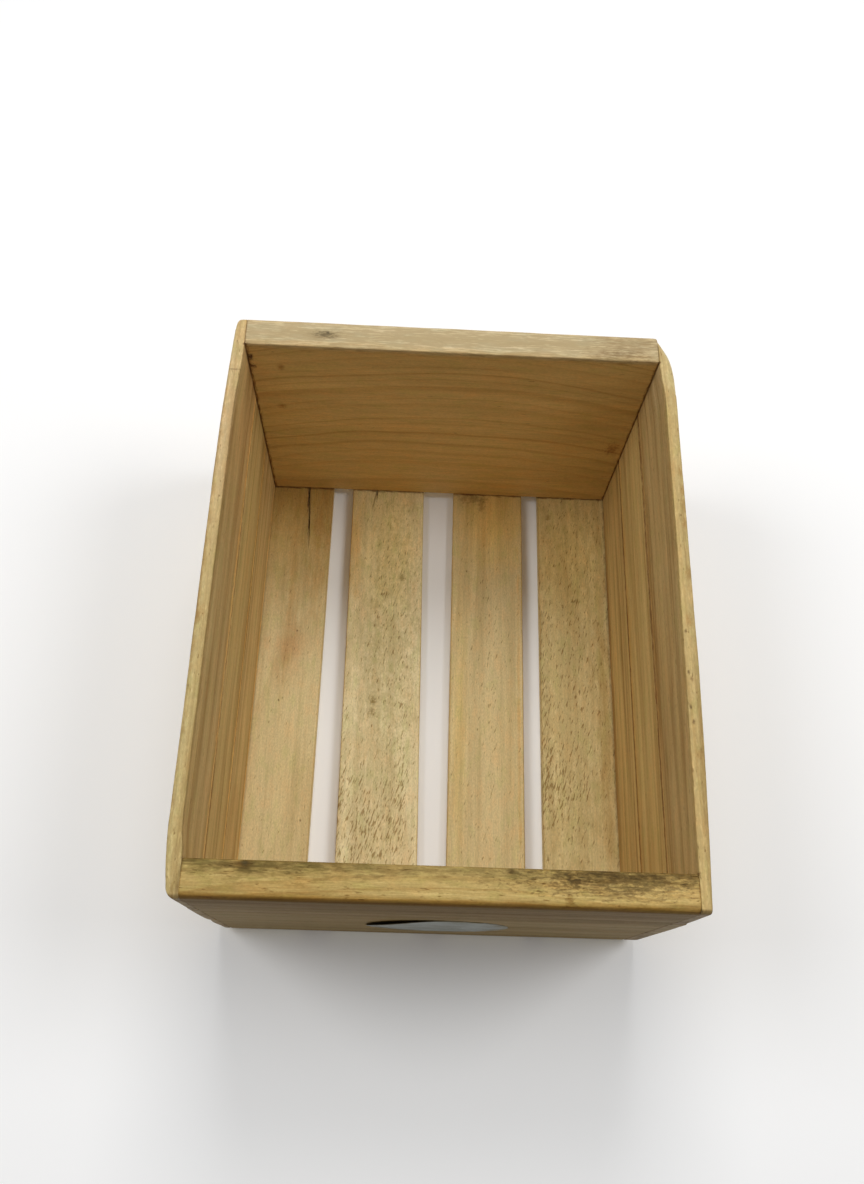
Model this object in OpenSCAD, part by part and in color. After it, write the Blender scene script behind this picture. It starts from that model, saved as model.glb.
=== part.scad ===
// Wooden apple crate. Two thick end boards stand between two sides of three slats each,
// and four floor boards close the bottom. Wire nails hold every slat and floor board to
// the ends of the end boards, and a blank paper label is stuck to the front.
// X runs across the crate, Y along it towards the back, and Z up. The origin lies on the
// ground, below the middle of the crate.

/* [Crate] */
// Clear width between the two sides
inside_w = 280; // [220:1:360]
// Clear length between the two end boards
inside_l = 336; // [240:1:480]
// Easing of the boards' long edges and ends, from sanding and use
edge_r = 0.8; // [0.4:0.1:2]
// Wear rounding of the slats' edges along the rim
rim_r = 2.5; // [1:0.5:4]

/* [End boards] */
// Thickness of an end board
end_t = 21; // [18:0.5:30]
// Rounding of the front board's outer edge at the rim
front_rim_r = 5; // [2:0.5:8]
// Rounding of the back board's outer edge at the rim
back_rim_r = 3; // [1:0.5:8]

/* [Side slats] */
// Thickness of a slat
slat_t = 10; // [8:0.5:15]
// Height of a slat
slat_h = 65; // [60:1:90]
// Seam between two slats
slat_seam = 0.5; // [0.2:0.1:3]

/* [Worn corners of the top slats] */
// Length over which the right slat's outer corner is worn away at the back
right_back_run = 46; // [20:1:50]
// Depth of that wear at the slat's end, across the rim
right_back_depth = 12.8; // [4:0.2:13]
// Lean of the worn face from upright, in degrees
right_back_lean = 34; // [30:1:45]
// Radius of the right slat's corner at the front
right_front_r = 3; // [1:0.5:8]
// Rounding of the left slat's upright edge at the back
left_back_r = 6.5; // [1:0.5:7]
// Length over which the left slat slopes down at the front
left_front_run = 28; // [15:1:90]
// Height that the left slat loses at the front
left_front_drop = 4; // [1:0.5:10]
// Rounding of the left slat's upright edge at the front
left_front_r = 6.5; // [1:0.5:7]

/* [Floor boards] */
// Thickness of a floor board
floor_t = 10; // [8:0.5:15]
// Width of the left, second and right floor boards
floor_w = 60; // [45:1:65]
// Width of the third floor board, which is the narrow one
narrow_w = 58; // [45:1:65]
// Distance from the crate's right face to the right floor board
right_inset = 6; // [0:0.5:8]
// Distance from the crate's end faces to the floor boards' ends
floor_end_inset = 1; // [0.5:0.5:4]
// Turn of the second floor board, which was nailed on askew, in degrees
second_turn = 0.73; // [0:0.01:1.5]
// Distance by which the third floor board lies to the right of even spacing
third_shift = 4.7; // [0:0.1:8]

/* [Nails] */
// Length of a nail
nail_len = 38; // [25:1:50]
// Diameter of a nail's shank
nail_d = 2; // [1.4:0.1:3]
// Diameter of a nail's head
head_d = 5; // [4:0.1:6]
// Thickness of a nail's head
head_t = 0.8; // [0.5:0.1:1.5]
// Depth of a nail's head below the wood's surface
head_sink = 0.5; // [0.3:0.1:1]
// Length of a nail's point
point_len = 3; // [2:0.5:6]
// Clearance round a nail
nail_fit = 0.05; // [0.02:0.01:0.2]
// Distance of the slats' nails from the slat's edges
slat_nail_edge = 19; // [17:0.5:24]
// Distance of the floor boards' nails from the board's edges
floor_nail_edge = 15; // [10:0.5:20]
// Distance of both rows of nails from the middle of the end board's thickness
nail_stagger = 3; // [2.5:0.1:4]

/* [Label] */
// Width of the paper label
label_w = 92; // [50:1:120]
// Height of the paper label
label_h = 80; // [40:1:90]
// Thickness of the paper
label_t = 0.3; // [0.2:0.05:0.6]
// Height of the label's middle above the ground
label_z = 80; // [65:1:130]
// Distance of the label's middle to the right of the crate's middle
label_x = 3; // [-60:1:60]
// Turn of the label, in degrees
label_turn = 8; // [-20:1:20]
// Distance from the label's middle to the line where its loose corner starts
flap_start = 20; // [14:1:28]
// Radius to which the loose corner curls away from the wood
flap_r = 110; // [60:5:300]
// Direction of the loose corner from the label's middle, in degrees
flap_turn = 135; // [100:5:170]

/* [Hidden] */
$fn = 64;

// Rows of slats, counted up from the floor
bottom_index = 0;
middle_index = 1;
top_index = 2;

outside_w = inside_w + 2 * slat_t;
outside_l = inside_l + 2 * end_t;
end_h = 3 * slat_h + 2 * slat_seam;
rim_z = floor_t + end_h;

// Distances of the two rows of nails from the crate's middle, along Y
slat_nail_y = inside_l / 2 + end_t / 2 + nail_stagger;
floor_nail_y = inside_l / 2 + end_t / 2 - nail_stagger;

// Left edges of the floor boards at the middle of their length
first_x = -outside_w / 2;
fourth_x = outside_w / 2 - right_inset - floor_w;
even_gap = (fourth_x - first_x - 2 * floor_w - narrow_w) / 3;
second_x = first_x + floor_w + even_gap;
third_x = second_x + floor_w + even_gap + third_shift;
floor_x = [first_x, second_x, third_x, fourth_x];
floor_widths = [floor_w, floor_w, narrow_w, floor_w];
floor_turns = [0, second_turn, 0, 0];
floor_len = outside_l - 2 * floor_end_inset;

label_points = 60;
tool_reach = 1;

wood_end = [0.78, 0.64, 0.42];
wood_slat = [0.74, 0.59, 0.38];
wood_floor = [0.80, 0.67, 0.46];
nail_steel = [0.42, 0.40, 0.38];
label_paper = [0.86, 0.85, 0.80];

square_corner = [0, 0];
eased_corner = [edge_r, edge_r];
square_corners = [square_corner, square_corner, square_corner, square_corner];
eased_corners = [eased_corner, eased_corner, eased_corner, eased_corner];

function slat_z(row) = floor_t + row * (slat_h + slat_seam);

// What a rounded corner takes off, with the corner itself at the origin. The arc leaves
// the long edge level, a run before the end, and is a drop lower where it meets the end.
module corner_bite(corner) {
    run = corner[0];
    drop = corner[1];
    if (run > 0) {
        r = (run * run + drop * drop) / (2 * drop);
        difference() {
            translate([-run, -drop]) square([run + tool_reach, drop + tool_reach]);
            translate([-run, -r]) circle(r, $fn = 180);
        }
    }
}

// A board's outline from one side. Corners run low left, low right, high right, high left.
module outline(w, h, corners) {
    difference() {
        square([w, h]);
        mirror([1, 0]) mirror([0, 1]) corner_bite(corners[0]);
        translate([w, 0]) mirror([0, 1]) corner_bite(corners[1]);
        translate([w, h]) corner_bite(corners[2]);
        translate([0, h]) mirror([1, 0]) corner_bite(corners[3]);
    }
}

// A board with its outlines from above, from the front and from the right
module board(size, plan, front, side) {
    intersection() {
        linear_extrude(size[2]) outline(size[0], size[1], plan);
        translate([0, size[1], 0])
            rotate([90, 0, 0]) linear_extrude(size[1]) outline(size[0], size[2], front);
        rotate([90, 0, 90]) linear_extrude(size[0]) outline(size[1], size[2], side);
    }
}

// Shank and point of a nail driven along +Z from the wood's surface, or its hole
module shank(clearance) {
    straight = nail_len - point_len;
    cylinder(h = straight, d = nail_d + 2 * clearance);
    translate([0, 0, straight])
        cylinder(h = point_len + clearance, d1 = nail_d + 2 * clearance,
                 d2 = nail_d / 5 + 2 * clearance);
}

module nail() {
    intersection() {
        shank(0);
        translate([0, 0, head_sink]) cylinder(h = nail_len, d = head_d);
    }
    translate([0, 0, head_sink]) cylinder(h = head_t, d = head_d);
}

module nail_hole() {
    shank(nail_fit);
    translate([0, 0, -tool_reach])
        cylinder(h = tool_reach + head_sink + head_t, d = head_d + 2 * nail_fit);
}

// Frame of one side: x = 0 is its outer face and +X points into the crate
module on_left() translate([-outside_w / 2, 0, 0]) children();
module on_right() translate([outside_w / 2, 0, 0]) mirror([1, 0, 0]) children();

// Places of one slat's four nails, in its side's frame
module at_slat_nails(row) {
    for (end = [-1, 1], height = [slat_nail_edge, slat_h - slat_nail_edge])
        translate([0, end * slat_nail_y, slat_z(row) + height])
            rotate([0, 90, 0]) children();
}

// Frame of one floor board: x = 0 is its left edge, y = 0 the middle of its length
module on_floor_board(index) {
    half = floor_widths[index] / 2;
    translate([floor_x[index] + half, 0, 0])
        rotate([0, 0, floor_turns[index]]) translate([-half, 0, 0]) children();
}

// Places of one floor board's four nails, driven up from below
module at_floor_nails(index) {
    on_floor_board(index)
        for (end = [-1, 1], across = [floor_nail_edge, floor_widths[index] - floor_nail_edge])
            translate([across, end * floor_nail_y, 0]) children();
}

module end_board_nail_holes() {
    for (row = [bottom_index, middle_index, top_index]) {
        on_left() at_slat_nails(row) nail_hole();
        on_right() at_slat_nails(row) nail_hole();
    }
    for (index = [0:3]) at_floor_nails(index) nail_hole();
}

// An end board with its outer face towards -Y, standing at the front
module end_board(outer_rim_r) {
    side = [eased_corner, eased_corner, eased_corner, [outer_rim_r, outer_rim_r]];
    translate([-inside_w / 2, -outside_l / 2, floor_t])
        board([inside_w, end_t, end_h], square_corners, square_corners, side);
}

module front_end_board() {
    color(wood_end) difference() {
        end_board(front_rim_r);
        end_board_nail_holes();
    }
}

module back_end_board() {
    color(wood_end) difference() {
        mirror([0, 1, 0]) end_board(back_rim_r);
        end_board_nail_holes();
    }
}

// A slat in its side's frame, with the corners of its top edge and of its upright edges
module slat(row, top_edge_r, front_top, front_upright_r, back_upright_r) {
    plan = [[front_upright_r, front_upright_r], eased_corner, eased_corner,
            [back_upright_r, back_upright_r]];
    front = [eased_corner, eased_corner, [top_edge_r, top_edge_r], [top_edge_r, top_edge_r]];
    side = [eased_corner, eased_corner, eased_corner, front_top];
    color(wood_slat) difference() {
        translate([0, -outside_l / 2, slat_z(row)])
            board([slat_t, outside_l, slat_h], plan, front, side);
        at_slat_nails(row) nail_hole();
    }
}

module plain_slat(row) slat(row, edge_r, eased_corner, edge_r, edge_r);

module left_top_slat() {
    on_left() slat(top_index, rim_r, [left_front_run, left_front_drop],
                   left_front_r, left_back_r);
}
module left_middle_slat() on_left() plain_slat(middle_index);
module left_bottom_slat() on_left() plain_slat(bottom_index);

// What wear takes off the outer back corner of a side's rim, in the side's frame. The worn
// face is a curve that leaves the outer face level and leans out towards the ground.
module worn_back_corner() {
    sagitta = right_back_depth * cos(right_back_lean);
    r = (right_back_run * right_back_run + sagitta * sagitta) / (2 * sagitta);
    start_y = outside_l / 2 - right_back_run;
    difference() {
        translate([-tool_reach, start_y, slat_z(top_index)])
            cube([slat_t + 2 * tool_reach, right_back_run + tool_reach, slat_h + tool_reach]);
        translate([0, start_y, rim_z]) rotate([0, right_back_lean, 0])
            translate([r, 0, 0]) cylinder(h = 4 * slat_h, r = r, center = true, $fn = 180);
    }
}

module right_top_slat() {
    color(wood_slat) on_right() difference() {
        slat(top_index, rim_r, [right_front_r, right_front_r], edge_r, edge_r);
        worn_back_corner();
    }
}
module right_middle_slat() on_right() plain_slat(middle_index);
module right_bottom_slat() on_right() plain_slat(bottom_index);

module slat_nails(row) color(nail_steel) at_slat_nails(row) nail();

module floor_board(index) {
    size = [floor_widths[index], floor_len, floor_t];
    color(wood_floor) difference() {
        on_floor_board(index) translate([0, -floor_len / 2, 0])
            board(size, square_corners, eased_corners, eased_corners);
        at_floor_nails(index) nail_hole();
    }
}

module floor_board_nails(index) color(nail_steel) at_floor_nails(index) nail();

// The label's oval, and the sheet that it is cut from: flat on the wood, with one part
// that curls away from it. Both lie in a frame with x to the right, y up and z outwards.
module label_oval() {
    polygon([for (i = [0:label_points - 1])
        let (turn = 360 * i / label_points)
            [label_w / 2 * cos(turn), label_h / 2 * sin(turn)]]);
}

module curling_sheet() {
    rotate([0, 0, flap_turn]) {
        translate([-label_w, -label_w, 0]) cube([label_w + flap_start, 2 * label_w, label_t]);
        translate([flap_start, label_w, flap_r]) rotate([90, 0, 0])
            linear_extrude(2 * label_w) intersection() {
                difference() {
                    circle(flap_r, $fn = 360);
                    circle(flap_r - label_t, $fn = 360);
                }
                translate([0, -flap_r]) square([flap_r / 2, flap_r]);
            }
    }
}

module label() {
    color(label_paper) translate([label_x, -outside_l / 2, label_z]) rotate([90, 0, 0])
        intersection() {
            linear_extrude(flap_r) rotate([0, 0, label_turn]) label_oval();
            curling_sheet();
        }
}

front_end_board();
back_end_board();
left_top_slat();
left_middle_slat();
left_bottom_slat();
right_top_slat();
right_middle_slat();
right_bottom_slat();
floor_board(0);  // floor_board_1
floor_board(1);  // floor_board_2
floor_board(2);  // floor_board_3
floor_board(3);  // floor_board_4
on_left() slat_nails(top_index);  // left_top_slat_nails
on_left() slat_nails(middle_index);  // left_middle_slat_nails
on_left() slat_nails(bottom_index);  // left_bottom_slat_nails
on_right() slat_nails(top_index);  // right_top_slat_nails
on_right() slat_nails(middle_index);  // right_middle_slat_nails
on_right() slat_nails(bottom_index);  // right_bottom_slat_nails
floor_board_nails(0);  // floor_board_1_nails
floor_board_nails(1);  // floor_board_2_nails
floor_board_nails(2);  // floor_board_3_nails
floor_board_nails(3);  // floor_board_4_nails
label();
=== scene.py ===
import itertools
import math

import bpy
import numpy as np
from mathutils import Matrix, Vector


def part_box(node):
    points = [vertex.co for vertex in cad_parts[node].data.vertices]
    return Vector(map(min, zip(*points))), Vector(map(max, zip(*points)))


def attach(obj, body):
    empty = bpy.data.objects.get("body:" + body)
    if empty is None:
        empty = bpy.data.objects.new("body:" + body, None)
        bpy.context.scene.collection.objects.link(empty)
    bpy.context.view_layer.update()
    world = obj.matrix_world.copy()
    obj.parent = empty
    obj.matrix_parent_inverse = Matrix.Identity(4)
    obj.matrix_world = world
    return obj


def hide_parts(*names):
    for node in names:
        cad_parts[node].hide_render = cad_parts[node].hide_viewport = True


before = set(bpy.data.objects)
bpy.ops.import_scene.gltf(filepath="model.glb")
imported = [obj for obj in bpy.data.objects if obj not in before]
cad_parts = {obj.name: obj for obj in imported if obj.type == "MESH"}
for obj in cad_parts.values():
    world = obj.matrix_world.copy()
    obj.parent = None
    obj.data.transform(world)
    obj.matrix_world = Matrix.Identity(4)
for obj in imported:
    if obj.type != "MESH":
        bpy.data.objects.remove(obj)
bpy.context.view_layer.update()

mm = 0.001


# ---- Front and back end boards ----
# Two thick softwood boards, sawn and planed, that stand upright between the two sides.
# They carry every nail: the side slats lap over their end grain, and the floor boards
# are nailed up into their lower edges. Hands and stacking have rounded their rims.

def box_of(node):
    low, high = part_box(node)
    return np.array(low), np.array(high)


def cuts(low, high, step, close_ups):
    """Where a board's mesh is cut: a step apart, and finer round each (place, reach, fine step)."""
    places = np.linspace(low, high, max(2, round((high - low) / step) + 1))
    for place, reach, fine in close_ups:
        near = place + np.linspace(-reach, reach, 2 * round(reach / fine) + 1)
        places = np.concatenate([places[np.abs(places - place) > reach + fine / 2], near])
    places = np.unique(np.clip(places, low, high))
    return places[np.append(np.diff(places) > 0.05 * mm, True)]


def edge_close_ups(low, high):
    """Fine cuts along both edges of a board, for their rounding and chips."""
    return [(low, 1.5 * mm, 0.5 * mm), (high, 1.5 * mm, 0.5 * mm),
            (low + 3.5 * mm, 1.5 * mm, 1.0 * mm), (high - 3.5 * mm, 1.5 * mm, 1.0 * mm)]


def shell(xs, ys, zs):
    """Corner points and quads of a box whose six faces are cut at these places."""
    grid = np.stack(np.meshgrid(xs, ys, zs, indexing="ij"), -1)
    outside = np.ones(grid.shape[:3], bool)
    outside[1:-1, 1:-1, 1:-1] = False
    number = np.cumsum(outside).reshape(outside.shape) - 1
    quads = []
    for axis, end in itertools.product(range(3), (0, -1)):
        face = np.take(number, end, axis)
        quad = np.stack([face[:-1, :-1], face[1:, :-1], face[1:, 1:], face[:-1, 1:]], -1)
        looks_out = (end == -1) != (axis == 1)
        quads.append((quad if looks_out else quad[..., ::-1]).reshape(-1, 4))
    return grid[outside], np.concatenate(quads).tolist()


def smooth(share):
    share = np.clip(share, 0, 1)
    return share * share * (3 - 2 * share)


def board_mesh(low, high, steps, close_ups):
    """A board's box. It is cut these steps, in mm, apart along x, y and z, and finer near its
    edges and at the close-ups given for each axis."""
    return shell(*(cuts(low[axis], high[axis], steps[axis] * mm,
                        edge_close_ups(low[axis], high[axis]) + list(close_ups[axis]))
                   for axis in range(3)))


def bumps(points, size, seed):
    """Smooth noise from -1 to 1 with bumps of this size, the same for the same seed."""
    table = np.random.default_rng(seed).uniform(-1, 1, (16, 16, 16))
    cells = points / size
    base = np.floor(cells).astype(int)
    within = smooth(cells - base)
    total = np.zeros(len(points))
    for corner in itertools.product((0, 1), repeat=3):
        share = np.prod(np.where(corner, within, 1 - within), axis=1)
        index = (base + corner) % 16
        total += share * table[index[:, 0], index[:, 1], index[:, 2]]
    return total


# which axis each face of a box looks along, and which way
SIDES = {"left": (0, -1), "right": (0, 1), "front": (1, -1), "back": (1, 1),
         "bottom": (2, -1), "top": (2, 1)}


def round_edge(points, low, high, edge, radius):
    """Rounds one edge of a box, named by its two faces, such as "front top"."""
    faces = [SIDES[word] for word in edge.split()]
    depths = []
    for axis, side in faces:
        gap = high[axis] - points[:, axis] if side > 0 else points[:, axis] - low[axis]
        depths.append(radius - gap)
    first, second = depths
    inside = (first > 0) & (second > 0)
    spread = np.hypot(first, second) + 1e-12
    shrink = 1 - np.maximum(first, second) / spread
    for (axis, side), depth in zip(faces, depths):
        points[inside, axis] -= side * (depth * shrink)[inside]


def ease_edges(points, low, high, usual, wider, seed):
    """Rounds all twelve edges unevenly, as wear does, with a chip here and there."""
    names = [" ".join(pair) for pair in itertools.combinations(SIDES, 2)
             if SIDES[pair[0]][0] != SIDES[pair[1]][0]]
    for number, name in enumerate(names):
        uneven = 0.25 * bumps(points, 22 * mm, seed + number)
        chips = np.clip(bumps(points, 6 * mm, seed + 20 + number) - 0.55, 0, 1)
        radius = wider.get(name, usual)
        if callable(radius):
            radius = radius(points)
        radius = radius * (1 + uneven) + 1.4 * mm * chips
        round_edge(points, low, high, name, radius)


def roughen(points, seed):
    """The board's own unevenness: long waves of the plane and small dents."""
    for axis in range(3):
        points[:, axis] += 0.10 * mm * bumps(points, 45 * mm, seed + 40 + axis)
        points[:, axis] += 0.04 * mm * bumps(points, 5 * mm, seed + 50 + axis)


def keep_inside(points, low, high):
    """Keeps a piece within the box of the solid that it stands for."""
    for axis in range(3):
        points[:, axis] = np.clip(points[:, axis], low[axis], high[axis])


def make_piece(name, points, faces, material, node):
    """Makes a mesh into a visible piece, in place of the solid of that node."""
    mesh = bpy.data.meshes.new(name)
    mesh.from_pydata(points.tolist(), [], faces)
    mesh.shade_smooth()
    mesh.materials.append(material)
    piece = bpy.data.objects.new(name, mesh)
    bpy.context.scene.collection.objects.link(piece)
    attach(piece, "root")
    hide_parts(node)


def srgb(red, green, blue):
    """A colour given from 0 to 255, as the shader's linear one."""
    parts = [part / 255 for part in (red, green, blue)]
    return [p / 12.92 if p < 0.04045 else ((p + 0.055) / 1.055) ** 2.4 for p in parts] + [1.0]


def put(tree, kind, inputs=None, **settings):
    """Adds a node. Each input is a value, or the output of another node."""
    made = tree.nodes.new(kind)
    for key, value in settings.items():
        setattr(made, key, value)
    for key, value in (inputs or {}).items():
        if isinstance(value, bpy.types.NodeSocket):
            tree.links.new(value, made.inputs[key])
        else:
            made.inputs[key].default_value = value
    return made


def maths(tree, operation, *values):
    return put(tree, "ShaderNodeMath", dict(enumerate(values)), operation=operation).outputs[0]


def chain(tree, operation, first, *others):
    """Adds, subtracts, multiplies or compares several values, one after the other."""
    for other in others:
        first = maths(tree, operation, first, other)
    return first


def times(tree, *values):
    return chain(tree, "MULTIPLY", *values)


def vector(tree, operation, first, second):
    made = put(tree, "ShaderNodeVectorMath", {0: first, 1: second}, operation=operation)
    return made.outputs[0]


def length(tree, place):
    made = put(tree, "ShaderNodeVectorMath", {0: place}, operation="LENGTH")
    return made.outputs["Value"]


def spun(tree, place, angle):
    """A place turned about the third axis."""
    return put(tree, "ShaderNodeVectorRotate", {"Vector": place, "Angle": angle},
               rotation_type="Z_AXIS").outputs[0]


def split(tree, place):
    return put(tree, "ShaderNodeSeparateXYZ", {0: place}).outputs


def join(tree, x, y, z):
    return put(tree, "ShaderNodeCombineXYZ", {0: x, 1: y, 2: z}).outputs[0]


def fade(tree, value, start, end, low=0.0, high=1.0):
    """A smooth step: low where value is at start, high where it is at end."""
    made = put(tree, "ShaderNodeMapRange", {0: value, 1: start, 2: end, 3: low, 4: high},
               interpolation_type="SMOOTHSTEP")
    return made.outputs[0]


def noise(tree, place, detail=2.0, roughness=0.5):
    return put(tree, "ShaderNodeTexNoise",
               {"Vector": place, "Scale": 1.0, "Detail": detail, "Roughness": roughness})


def blend(tree, share, first, second, mode="MIX"):
    """Mixes the second colour into the first."""
    made = put(tree, "ShaderNodeMix", {0: share, 6: first, 7: second},
               data_type="RGBA", blend_type=mode)
    return made.outputs[2]


def shaded(tree, share, colour, tint):
    """Tints a colour, as a stain or a shade does."""
    return blend(tree, share, colour, tint, "MULTIPLY")


def new_group(name, inputs, outputs):
    """A shader node group with these named sockets, given as name: (kind, default)."""
    tree = bpy.data.node_groups.new(name, "ShaderNodeTree")
    for label, (kind, default) in inputs.items():
        socket = tree.interface.new_socket(label, in_out="INPUT", socket_type="NodeSocket" + kind)
        if default is not None:
            socket.default_value = default
    for label in outputs:
        tree.interface.new_socket(label, in_out="OUTPUT", socket_type="NodeSocketFloat")
    return tree, tree.nodes.new("NodeGroupInput").outputs, tree.nodes.new("NodeGroupOutput")


def give(tree, output, **results):
    for label, result in results.items():
        tree.links.new(result, output.inputs[label])


def use(tree, group, **inputs):
    """Places a node group in a material, with this material's own values."""
    named = {label.replace("_", " "): value for label, value in inputs.items()}
    return put(tree, "ShaderNodeGroup", named, node_tree=group).outputs


def growth_rings_group():
    """Lines of latewood, where the log's rings come out at the board's faces and ends."""
    tree, given, output = new_group(
        "Growth rings",
        {"Grain": ("Vector", None), "Pith Across": ("Float", 0.0), "Pith Depth": ("Float", 0.1),
         "Sweep": ("Float", 0.0), "Slope": ("Float", 0.0), "Ring Width": ("Float", 0.004),
         "Wander": ("Float", 0.008), "Late Start": ("Float", 0.3), "Seed": ("Float", 0.0)},
        ["Latewood"])
    parts = split(tree, given["Grain"])
    place = vector(tree, "MULTIPLY", given["Grain"], (6.0, 18.0, 18.0))
    place = vector(tree, "ADD", place, join(tree, given["Seed"], given["Seed"], 0.0))
    wander = noise(tree, place).outputs["Color"]
    wander = split(tree, vector(tree, "SUBTRACT", wander, (0.5,) * 3))
    bend = times(tree, parts[0], parts[0], given["Sweep"])
    across = maths(tree, "ADD", maths(tree, "SUBTRACT", parts[1], given["Pith Across"]), bend)
    across = maths(tree, "MULTIPLY_ADD", wander[1], given["Wander"], across)
    tilt = times(tree, parts[0], given["Slope"])
    depth = maths(tree, "ADD", maths(tree, "SUBTRACT", parts[2], given["Pith Depth"]), tilt)
    depth = maths(tree, "MULTIPLY_ADD", wander[2], given["Wander"], depth)
    radius = maths(tree, "ADD", times(tree, across, across), times(tree, depth, depth))
    radius = maths(tree, "SQRT", radius)
    years = maths(tree, "DIVIDE", radius, given["Ring Width"])
    seasons = put(tree, "ShaderNodeTexNoise",
                  {"W": maths(tree, "MULTIPLY_ADD", years, 0.45, given["Seed"]),
                   "Scale": 1.0, "Detail": 1.0}, noise_dimensions="1D").outputs[0]
    years = maths(tree, "MULTIPLY_ADD", seasons, 1.6, years)
    season = maths(tree, "FRACT", years)
    year = put(tree, "ShaderNodeTexWhiteNoise",
               {"W": maths(tree, "ADD", maths(tree, "FLOOR", years), given["Seed"])},
               noise_dimensions="1D").outputs["Value"]
    late = times(tree, fade(tree, season, given["Late Start"], 0.90),
                 fade(tree, season, 1.0, 0.94))
    strong = maths(tree, "MULTIPLY_ADD", year, 0.75, 0.25)
    give(tree, output, Latewood=times(tree, late, strong))
    return tree


def fibre_group():
    """Streaks along the grain from single fibres to bands, cloudy tones, and fine speckle."""
    tree, given, output = new_group(
        "Wood fibre", {"Grain": ("Vector", None), "Seed": ("Float", 0.0)},
        ["Fine", "Broad", "Tone", "Cloud", "Speckle"])
    seeds = join(tree, 0.0, given["Seed"], given["Seed"])
    results = {}
    for label, stretch, detail in (("Fine", (70.0, 1100.0, 1100.0), 3.0),
                                   ("Broad", (4.0, 120.0, 120.0), 5.0),
                                   ("Tone", (10.0, 26.0, 26.0), 2.0),
                                   ("Cloud", (60.0, 130.0, 130.0), 3.0),
                                   ("Speckle", (520.0, 1000.0, 1000.0), 3.0)):
        place = vector(tree, "MULTIPLY", given["Grain"], stretch)
        place = vector(tree, "ADD", place, seeds)
        results[label] = noise(tree, place, detail, 0.62).outputs[0]
    give(tree, output, **results)
    return tree


def patch_group():
    """A mark's shape: 1 within an oval, 0 outside, with a soft and ragged border."""
    tree, given, output = new_group(
        "Mark patch",
        {"Place": ("Vector", None), "Centre": ("Vector", None), "Reach": ("Vector", None),
         "Softness": ("Float", 0.5), "Raggedness": ("Float", 0.5), "Speckle": ("Vector", None)},
        ["Mask"])
    away = vector(tree, "SUBTRACT", given["Place"], given["Centre"])
    away = vector(tree, "DIVIDE", away, given["Reach"])
    distance = length(tree, away)
    fine = vector(tree, "DIVIDE", given["Place"], given["Speckle"])
    grain = maths(tree, "SUBTRACT", noise(tree, fine, 4.0, 0.6).outputs[0], 0.5)
    ragged = maths(tree, "MULTIPLY_ADD", grain, given["Raggedness"], distance)
    start = maths(tree, "SUBTRACT", 1.0, given["Softness"])
    end = maths(tree, "MULTIPLY_ADD", given["Softness"], 0.3, 1.0)
    give(tree, output, Mask=fade(tree, ragged, start, end, 1.0, 0.0))
    return tree


def fleck_group():
    """Short dark strokes where the plane tore the fibres or a resin canal was cut."""
    tree, given, output = new_group(
        "Torn flecks",
        {"Grain": ("Vector", None), "Angle": ("Float", 0.0), "Stretch": ("Vector", None),
         "Density": ("Float", 0.0)},
        ["Mask"])
    turned = spun(tree, given["Grain"], given["Angle"])
    place = vector(tree, "MULTIPLY", turned, given["Stretch"])
    value = noise(tree, place, 2.0, 0.6).outputs[0]
    value = maths(tree, "ADD", value, given["Density"])
    give(tree, output, Mask=fade(tree, value, 0.68, 0.79))
    return tree


def edge_group():
    """Distance in metres from a point on a board to the board's nearest edge. That is the
    middle one of its gaps to the faces, since on a face the smallest is nothing."""
    tree, given, output = new_group(
        "Board edge", {"Grain": ("Vector", None), "Half Size": ("Vector", None)}, ["Distance"])
    folded = put(tree, "ShaderNodeVectorMath", {0: given["Grain"]}, operation="ABSOLUTE").outputs[0]
    gaps = split(tree, vector(tree, "SUBTRACT", given["Half Size"], folded))
    total, largest, smallest = (chain(tree, operation, gaps[0], gaps[1], gaps[2])
                                for operation in ("ADD", "MAXIMUM", "MINIMUM"))
    give(tree, output, Distance=chain(tree, "SUBTRACT", total, largest, smallest))
    return tree


growth_rings = growth_rings_group()
wood_fibre = fibre_group()
mark_patch = patch_group()
torn_flecks = fleck_group()
board_edge = edge_group()
late_tint = (0.70, 0.56, 0.38, 1)
warm_tint = (0.98, 0.88, 0.70, 1)
pale_tint = (1.06, 1.08, 1.12, 1)
torn_tint = (0.46, 0.36, 0.22, 1)
edge_tint = (0.74, 0.62, 0.44, 1)
seam_tint = (0.36, 0.24, 0.12, 1)
band_tint = (0.80, 0.67, 0.48, 1)
green_tint = (0.93, 0.98, 0.90, 1)
red_tint = (1.05, 0.99, 0.96, 1)


def blemish(at, reach, tint, strength=1.0, soft=1.0, ragged=1.0, speckle=(4, 4, 4),
            covers=False):
    """A stain, knot or light patch. reach is how far it goes from its middle, at, along x, y
    and z, and speckle is the size of its ragged border's grain, both in mm. The lists of
    marks below give all values in this order."""
    return dict(at=at, reach=[part * mm for part in reach], tint=tint, strength=strength,
                soft=soft, ragged=ragged, speckle=[part * mm for part in speckle], covers=covers)


def on_rim(x, y, *more, covers=False):
    """A blemish in the rims' upper faces, with its middle in mm."""
    return blemish((x * mm, y * mm, rim_z), *more, covers=covers)


def joint_dirt(at, along, half_width=1.3, strength=0.85, ragged=3.0):
    """Dirt caught in a joint: a thin broken line through a place, along one axis."""
    reach = [600 if axis == along else half_width for axis in "xyz"]
    speckle = [6 if axis == along else 1.6 for axis in "xyz"]
    return blemish(at, reach, seam_tint, strength, 1.0, ragged, speckle)


def mask_of(tree, place, mark):
    """How strongly a blemish shows at each place on the board."""
    mask = use(tree, mark_patch, Place=place, Centre=mark["at"], Reach=mark["reach"],
               Softness=mark["soft"], Raggedness=mark["ragged"], Speckle=mark["speckle"])["Mask"]
    return times(tree, mask, mark["strength"])


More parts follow.
